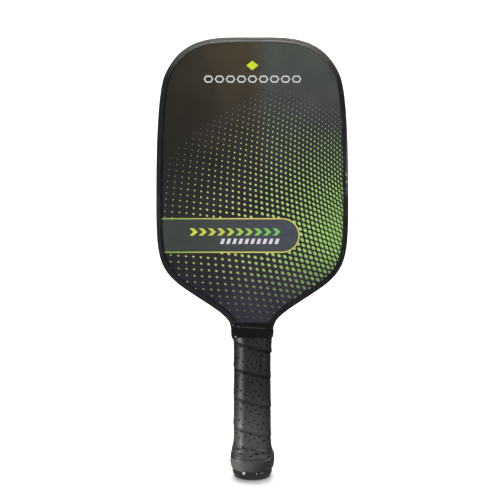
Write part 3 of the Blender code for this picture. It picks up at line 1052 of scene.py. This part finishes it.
def make_tape():
    """Tape drawn tight over the guard's ends, the foot of the faces and the grip's top end."""
    edge = outer_edge()
    sections = [  # height, half width, half depth, chamfer, corner radius, dip in the middle
        (0.1345, 0.0195, 0.0156, 0.0047, 0.0044, 0.0),
        (0.1360, 0.0198, 0.0154, 0.0042, 0.0040, 0.0),
        (0.1380, 0.0200, 0.0147, 0.0036, 0.0034, 0.0),
        (0.1411, 0.0204, 0.0129, 0.0031, 0.0026, 0.0),
    ]
    for height, *rest in ((0.1440, 0.0115, 0.0031, 0.0020, 0.0004),
                          (0.1470, 0.0101, 0.0027, 0.0018, 0.0009),
                          (0.1510, 0.0093, 0.0024, 0.0016, 0.0012)):
        sections.append((height, half_width_at(edge, height) + TAPE_OVER, *rest))
    rings = []
    for level in range(-TAPE_ROUND, TAPE_UP + TAPE_ROUND + 1):
        share = min(max(level / TAPE_UP, 0.0), 1.0)
        past = max(-level, level - TAPE_UP, 0)  # steps past an edge, where the tape thins out
        ring = []
        for step in range(TAPE_AROUND):
            fraction = step / TAPE_AROUND
            side = abs(math.cos(2 * math.pi * fraction))  # 1 at the middle of a face
            top = TAPE_TOP - 0.0003 - 0.0018 * (1 - side) ** 2
            top += 0.00022 * noise.noise(Vector((fraction * 31, 2.0, 0.0)))
            low = TAPE_LOW + 0.00025 * noise.noise(Vector((fraction * 17, 9.0, 0.0)))
            height = low + share * (top - low)
            width, depth, chamfer, radius, dip = interpolate(sections, height)
            point, normal = octagon_point(octagon_walk(width, depth, chamfer, radius), fraction)
            # It spans the hollow between the guard's lips
            inner = width - 0.0062
            lift = -dip * (1 - smooth(inner - 0.0022, inner + 0.0012, abs(point.x)))
            # One more turn lies below a slanted seam
            seam = 0.1463 - 0.07 * (point.x + 0.02) * (1 if point.y < 0 else -1)
            lift += 0.00020 * smooth(seam + 0.00015, seam - 0.00015, height)
            lift += 0.00003 * noise.noise(Vector((fraction * 40, height * 160, 4.0)))
            pucker = noise.noise(Vector((fraction * 260, height * 90, 11.0)))
            lift += 0.00012 * pucker * smooth(0.0150, 0.0190, abs(point.x))
            lift -= 0.00018 * past ** 1.3
            place = point + lift * normal
            ring.append(Vector((place.x, place.y, height)))
        rings.append(ring)
    tape = loft("tape_band", rings, tape_look(), capped=False)
    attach(tape, "root")
    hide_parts("finishing_tape")


def make_cap():
    """The cap: a flat end, a rounded rim, a fine groove, and a swelling skirt that goes under the
    grip."""
    profile = (  # height, half width in millimetres
        (0, 9), (0, 15.2), (0.08, 16), (0.3, 16.6), (0.6, 17), (1, 17.35), (1.6, 17.7), (2.3, 18),
        (3, 18.3), (4, 18.8), (4.9, 19.1), (5.6, 19.3), (6.1, 19.38), (6.5, 19.32), (6.9, 19.1),
        (7.3, 18.9), (7.7, 18.85), (8.1, 19.1), (8.5, 19.7), (9, 20.1), (9.8, 20.4), (11, 20.7),
        (12.7, 20.9), (14.6, 21.1), (16.6, 21.24), (18.5, 21.3), (19.5, 21.2), (20.1, 21),
        (20.5, 20.5), (20.7, 19.9), (21.2, 19.2), (22.5, 18.7), (24.3, 17.9), (26.2, 17.2),
        (30, 16.6), (34, 16.3),
    )
    rings = []
    for height, half in [(height * MM, half * MM) for height, half in profile]:
        roundness = smooth(0.0205, 0.0070, height)  # from the handle's octagon to nearly an oval
        depth = half - 0.0025 + 0.0009 * roundness
        chamfer = half * (0.30 + 0.26 * roundness)
        shortest_side = min(chamfer * math.sqrt(2), 2 * (depth - chamfer))
        radius = min(half * (0.44 + 0.48 * roundness), shortest_side / 0.829)
        walk = octagon_walk(half, depth, chamfer, radius)
        # The skirt's shoulder swells where the strip's cut end leaves it bare
        bare_height = smooth(0.0185, 0.0205, height) * smooth(0.0245, 0.0222, height)
        swell = max(0.0, min(SKIRT_HALF - half, 0.0026))
        ring = []
        for step in range(CAP_AROUND):
            fraction = step / CAP_AROUND
            point, normal = octagon_point(walk, fraction)
            bare = bare_height * smooth(0.11, 0.04, abs(fraction - BARE_PLACE))
            point += bare * swell * normal
            ring.append(Vector((point.x, point.y, height + 0.0012 * bare)))
        rings.append(ring)
    cap = loft("cap_shell", rings, cap_look(), capped=True)
    sharpen(cap, 35)
    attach(cap, "root")
    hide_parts("butt_cap")


def dress_inner_pieces(nodes):
    """Procedural materials for the CAD pieces that stay, most of them hidden."""
    white = srgb(228, 230, 226)
    core = plain_look("polypropylene", white, srgb(206, 210, 206), 220.0, 0.45, 0.0001,
                      transmission_weight=0.15)
    scrim = plain_look("fleece", srgb(220, 220, 214), srgb(190, 190, 184), 900.0, 0.9, 0.0002)
    foam = plain_look("foam tape", srgb(40, 40, 42), srgb(56, 56, 58), 500.0, 0.85, 0.0002)
    pallet = plain_look("rigid foam", srgb(176, 160, 130), srgb(150, 134, 106), 350.0, 0.7, 0.0002)
    steel = plain_look("plated wire", srgb(190, 190, 192), srgb(150, 150, 154), 1200.0, 0.3,
                       0.00003, metallic=1.0)
    skin = weave_look()
    looks = {
        "honeycomb_core": core, "front_core_scrim": scrim, "back_core_scrim": scrim,
        "front_face_skin": skin, "back_face_skin": skin, "edge_guard_tape": foam,
        "front_handle_pallet": pallet, "back_handle_pallet": pallet,
        "butt_cap_staple_front": steel, "butt_cap_staple_back": steel, "grip_staple": steel,
    }
    for name, material in looks.items():
        mesh = nodes[name].data
        mesh.materials.clear()
        mesh.materials.append(material)


# The stage


def make_stage():
    """A pale floor that curves up into a backdrop behind the paddle."""
    look = Look("pale paper", roughness=0.9, specular_ior_level=0.2)
    tone = look.varied(2, 2, 0.985, 1.0)
    look.colour(look.scaled((0.93, 0.93, 0.93), tone))
    half, front, back, radius, height = 6.0, -5.0, 2.2, 1.5, 6.0
    profile = [(front, 0.0), (back - radius, 0.0)]
    for i in range(1, 25):
        angle = math.pi / 2 * i / 24
        profile.append((back - radius + radius * math.sin(angle),
                        radius - radius * math.cos(angle)))
    profile.append((back, height))
    bm = bmesh.new()
    rows = [[bm.verts.new((x, y, z)) for x in (-half, half)] for y, z in profile]
    for low, high in zip(rows, rows[1:]):
        bm.faces.new((low[0], low[1], high[1], high[0]))
    backdrop = new_object("backdrop", bm, look.material)
    backdrop.visible_glossy = False  # dark gloss mirrors the room and the lights, not the paper


def area_light(name, place, target, size, power, spread):
    """A soft box that only its light shows. A narrow spread keeps it on its target."""
    light = bpy.data.lights.new(name, "AREA")
    light.shape = "RECTANGLE"
    light.size, light.size_y = size
    light.energy = power
    light.spread = math.radians(spread)
    obj = add_object(name, light)
    obj.location = place
    obj.rotation_euler = (Vector(target) - Vector(place)).to_track_quat("-Z", "Y").to_euler()
    obj.visible_camera = False


def make_lights():
    """A key from the left that draws the grip's highlight, a small fill from the right, a broad
    light overhead, two that only reach the head's top and the cap, and washes for the paper."""
    world = bpy.data.worlds.new("studio")
    world.use_nodes = True
    background = world.node_tree.nodes["Background"]
    background.inputs["Color"].default_value = (0.97, 0.98, 1.0, 1.0)
    background.inputs["Strength"].default_value = 0.22
    bpy.context.scene.world = world
    middle, top, cap = (0.0, 0.0, 0.22), (0.0, 0.0, 0.44), (0.002, 0.0, 0.004)
    lights = (  # name, place, target, size, power, spread
        ("key", (-1.10, -1.05, 0.25), middle, (0.50, 0.46), 18.5, 180),
        ("fill", (1.25, -0.95, 0.32), middle, (0.20, 0.40), 2.0, 180),
        ("overhead", (0.05, 0.12, 1.5), middle, (1.6, 0.7), 15.0, 180),
        ("high front", (0.02, -0.52, 0.72), top, (0.56, 0.12), 0.065, 30),
        ("low front", (0.26, -0.90, 0.30), cap, (0.06, 0.05), 0.005, 8),
        ("backdrop wash", (0.0, 1.0, 2.6), (0.0, 2.2, 0.2), (3.5, 1.0), 60.0, 180),
        ("floor wash", (0.0, 0.9, 2.0), (0.0, 0.9, 0.0), (2.5, 1.2), 22.0, 180),
    )
    for light in lights:
        area_light(*light)


def place_camera():
    """Level, in front of the paddle's middle, at arm's length."""
    camera = bpy.data.cameras.new("camera")
    camera.sensor_width = 36.0
    camera.lens = 51.8
    obj = add_object("camera", camera)
    obj.location = (-0.0022, -0.7, 0.2194)
    obj.rotation_euler = (math.pi / 2, 0.0, 0.0)
    bpy.context.scene.camera = obj
    bpy.context.scene.view_settings.view_transform = "Standard"


def main():
    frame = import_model()
    dress_inner_pieces(frame["nodes"])
    place_prints()
    make_guard()
    make_grip()
    make_tape()
    make_cap()
    make_stage()
    make_lights()
    place_camera()


main()
